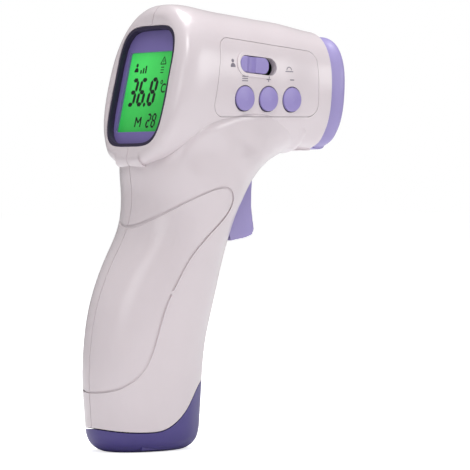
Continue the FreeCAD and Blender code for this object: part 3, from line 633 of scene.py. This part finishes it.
class THERMOMETER_OT_reading(bpy.types.Operator):
    """Lays the reading and its marks on the display"""
    bl_idname = "thermometer.reading"
    bl_label = "Reading"

    def execute(self, context):
        sizes = context.scene.thermometer_sizes
        ink = printed_ink("darkened_crystal", "#07140b", 0.30)
        place = display_place(sizes) @ Matrix.Translation((0, 0, 0.01 * MM))
        height = sizes.digit_height
        bm = bmesh.new()
        stroke = height * 0.17
        width = height * 0.36
        left = -10.1 * MM
        base = -4.1 * MM
        for figure, step in (("3", 0.0), ("6", 0.63), ("8", 1.36)):
            digit(bm, figure, left + step * height, base, width, height, stroke, 0.10)
        disc(bm, (left + 1.17 * height, base - stroke * 0.1), stroke * 0.5)
        finish_mark(bm, "reading_digits", ink, place, sizes.ink_thickness, "housing")

        bm = bmesh.new()
        hoop(bm, (7.7 * MM, 3.3 * MM), 0.55 * MM, 0.36 * MM)
        hoop(bm, (9.5 * MM, 1.2 * MM), 1.35 * MM, 0.55 * MM, math.radians(50),
             math.radians(260))
        for figure, x in (("2", 3.0), ("8", 6.0)):
            digit(bm, figure, x * MM, -11.9 * MM, 1.8 * MM, 4.2 * MM, 0.72 * MM, 0.10)
        letter = Vector((-3.4 * MM, -11.9 * MM))
        for start, end in (((0, 0), (0, 3.4)), ((3.0, 0), (3.0, 3.4)), ((0, 3.4), (1.5, 1.4)),
                           ((1.5, 1.4), (3.0, 3.4))):
            bar(bm, letter + Vector(start) * MM, letter + Vector(end) * MM, 0.66 * MM, 0.1)
        person_mark(bm, x=-8.6 * MM, y=6.9 * MM, height=3.3 * MM)
        for x, level in ((-5.8, 1.2), (-4.4, 1.9), (-3.0, 2.6)):
            bar(bm, (x * MM, 6.6 * MM), (x * MM, (6.6 + level) * MM), 0.8 * MM, 0.0)
        peak = Vector((6.6 * MM, 9.5 * MM))
        for start, end in (((-1.6, 0), (1.6, 0)), ((1.6, 0), (0, 2.5)), ((0, 2.5), (-1.6, 0))):
            bar(bm, peak + Vector(start) * MM, peak + Vector(end) * MM, 0.36 * MM, 0.2)
        bar(bm, peak + Vector((0, 0.5)) * MM, peak + Vector((0, 1.5)) * MM, 0.34 * MM, 0.1)
        for level in (6.6, 7.5, 8.4):
            bar(bm, (5.7 * MM, level * MM), (7.5 * MM, level * MM), 0.3 * MM, 0.1)
        finish_mark(bm, "reading_marks", ink, place, sizes.ink_thickness, "housing")
        return {"FINISHED"}


class THERMOMETER_OT_painted_shade(bpy.types.Operator):
    """Lines the display window and the gaps round the buttons with dark rings of painted shade
    """
    bl_idname = "thermometer.seals"
    bl_label = "Painted shade"

    def execute(self, context):
        sizes = context.scene.thermometer_sizes
        # dark violet for the painted shade on the window's rim and wall and in the button gaps
        painted_shade_dark = moulded("painted_shade_violet", "#2c2440", "#241c36", 0.50, 0.5, 0.01)
        painted_shade_lining(sizes, painted_shade_dark)
        for name in ("mode", "plus", "minus"):
            painted_gap_shadow_ring(name, sizes, painted_shade_dark)
        return {"FINISHED"}


class THERMOMETER_OT_panel_marks(bpy.types.Operator):
    """Prints the marks beside the buttons and the slide"""
    bl_idname = "thermometer.panel_marks"
    bl_label = "Panel marks"

    def execute(self, context):
        sizes = context.scene.thermometer_sizes
        ink = printed_ink("pad_printed_grey", "#77717c", 0.55)
        place = panel_place(sizes)
        surface = node_surface("control_panel")
        spacing = (box_middle("minus_button") - box_middle("plus_button")).length
        above = 6.6 * MM
        size = 0.95 * MM
        line = 0.36 * MM
        clear = 0.2 * MM            # keeps the plus sign's upright off its crossbar
        slide = 11.3 * MM
        marks = {}
        bm = bmesh.new()
        bar(bm, (-size, above), (size, above), line, 0.0)
        bar(bm, (0, above + clear), (0, above + size), line, 0.0)
        bar(bm, (0, above - size), (0, above - clear), line, 0.0)
        marks["mark_plus"] = bm
        bm = bmesh.new()
        bar(bm, (spacing - size, above), (spacing + size, above), line, 0.0)
        marks["mark_minus"] = bm
        bm = bmesh.new()
        reach = 1.3 * MM
        for level in (-0.75 * MM, 0.0, 0.75 * MM):
            bar(bm, (-spacing - reach, above + level), (-spacing + reach, above + level),
                0.32 * MM, 0.0)
        marks["mark_mode"] = bm
        bm = bmesh.new()
        person_mark(bm, x=-15.9 * MM, y=slide - 1.2 * MM, height=3.0 * MM)
        marks["mark_person"] = bm
        bm = bmesh.new()
        block_mark(bm, x=9.6 * MM, y=slide - 1.9 * MM, width=3.6 * MM, height=2.6 * MM)
        marks["mark_surface"] = bm
        for name, bm in marks.items():
            finish_mark(bm, name, ink, place, sizes.ink_thickness, "housing",
                        surface)
        return {"FINISHED"}


class THERMOMETER_OT_springs(bpy.types.Operator):
    """Winds the cell springs on the cap's contact plate"""
    bl_idname = "thermometer.springs"
    bl_label = "Cell springs"

    def execute(self, context):
        low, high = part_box("cap_contact")
        metal = frame["nodes"]["cap_contact"].data.materials[0]
        bm = bmesh.new()
        contact_plate(bm, low, high)
        for y, height in SPRINGS:
            wind_spring(bm, y, height, low.z + PLATE_THICKNESS)
        bmesh.ops.recalc_face_normals(bm, faces=bm.faces)
        piece = finish_piece(bm, "cell_springs", metal, "cap", smooth=True)
        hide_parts("cap_contact")
        return {"FINISHED"}


class THERMOMETER_OT_studio(bpy.types.Operator):
    """Lays the floor and sets the lights and camera"""
    bl_idname = "thermometer.studio"
    bl_label = "Studio"

    def execute(self, context):
        scene = context.scene
        studio = scene.thermometer_studio
        bm = bmesh.new()
        bmesh.ops.create_grid(bm, x_segments=1, y_segments=1, size=FLOOR_REACH)
        mesh = bpy.data.meshes.new("floor")
        bm.to_mesh(mesh)
        bm.free()
        floor = bpy.data.objects.new("floor", mesh)
        scene.collection.objects.link(floor)
        material, tree, shader, place = new_material("pale_floor")
        seen = add_node(tree, "LightPath").outputs["Is Camera Ray"]
        mottle = add_node(tree, "TexNoise", inputs={"Vector": place, "Scale": 3.0})
        tone = ramp(tree, mottle.outputs["Fac"],
                    [(0.3, linear("#fbfbfc")), (0.7, linear("#f6f6f8"))])
        bright = add_node(tree, "Math", {"operation": "MULTIPLY"}, {0: seen, 1: FLOOR_GLOW})
        tree.links.new(tone, shader.inputs["Base Color"])
        tree.links.new(bright.outputs["Value"], shader.inputs["Emission Strength"])
        shader.inputs["Emission Color"].default_value = linear("#ffffff")
        shader.inputs["Roughness"].default_value = 0.7
        mesh.materials.append(material)

        for name, where, size, share in LIGHTS:
            data = bpy.data.lights.new(name, "AREA")
            data.shape = "DISK"
            data.size = size
            data.energy = studio.key_power * share
            lamp = bpy.data.objects.new(name, data)
            lamp.location = where
            toward = LIGHT_TARGET - lamp.location
            lamp.rotation_euler = toward.to_track_quat("-Z", "Y").to_euler()
            scene.collection.objects.link(lamp)

        world = bpy.data.worlds.new("pale_room")
        world.use_nodes = True
        background = world.node_tree.nodes["Background"]
        background.inputs["Color"].default_value = linear("#ffffff")
        seen = add_node(world.node_tree, "LightPath").outputs["Is Camera Ray"]
        level = add_node(world.node_tree, "MapRange", inputs={
            "Value": seen, "To Min": studio.room_light, "To Max": 1.0})
        world.node_tree.links.new(level.outputs["Result"], background.inputs["Strength"])
        scene.world = world

        data = bpy.data.cameras.new("camera")
        data.lens = studio.lens
        data.sensor_width = LENS_SENSOR
        data.clip_start = NEAR_CLIP
        camera = bpy.data.objects.new("camera", data)
        around, above = studio.azimuth, studio.elevation
        outward = Vector((math.sin(around) * math.cos(above),
                          -math.cos(around) * math.cos(above), math.sin(above)))
        camera.location = Vector(studio.aim) + outward * studio.distance
        camera.rotation_euler = (-outward).to_track_quat("-Z", "Y").to_euler()
        scene.collection.objects.link(camera)
        scene.camera = camera
        scene.view_settings.view_transform = "Standard"
        return {"FINISHED"}


class THERMOMETER_PT_panel(bpy.types.Panel):
    """Lists the steps and the sizes."""
    bl_label = "Thermometer"
    bl_idname = "THERMOMETER_PT_panel"
    bl_space_type = "VIEW_3D"
    bl_region_type = "UI"
    bl_category = "Thermometer"

    def draw(self, context):
        for group in (context.scene.thermometer_sizes, context.scene.thermometer_studio):
            for name in group.__annotations__:
                self.layout.prop(group, name)
        for step in STEPS:
            self.layout.operator(step.bl_idname)


STEPS = (THERMOMETER_OT_finishes, THERMOMETER_OT_reading, THERMOMETER_OT_painted_shade,
         THERMOMETER_OT_panel_marks, THERMOMETER_OT_springs, THERMOMETER_OT_studio)
CLASSES = (ThermometerSizes, StudioSettings) + STEPS + (THERMOMETER_PT_panel,)


def register():
    for item in CLASSES:
        bpy.utils.register_class(item)
    bpy.types.Scene.thermometer_sizes = bpy.props.PointerProperty(type=ThermometerSizes)
    bpy.types.Scene.thermometer_studio = bpy.props.PointerProperty(type=StudioSettings)


def unregister():
    del bpy.types.Scene.thermometer_studio
    del bpy.types.Scene.thermometer_sizes
    for item in reversed(CLASSES):
        bpy.utils.unregister_class(item)


def main():
    register()
    bpy.ops.thermometer.finishes()
    bpy.ops.thermometer.reading()
    bpy.ops.thermometer.seals()
    bpy.ops.thermometer.panel_marks()
    bpy.ops.thermometer.springs()
    bpy.ops.thermometer.studio()


if __name__ == "__main__":
    main()
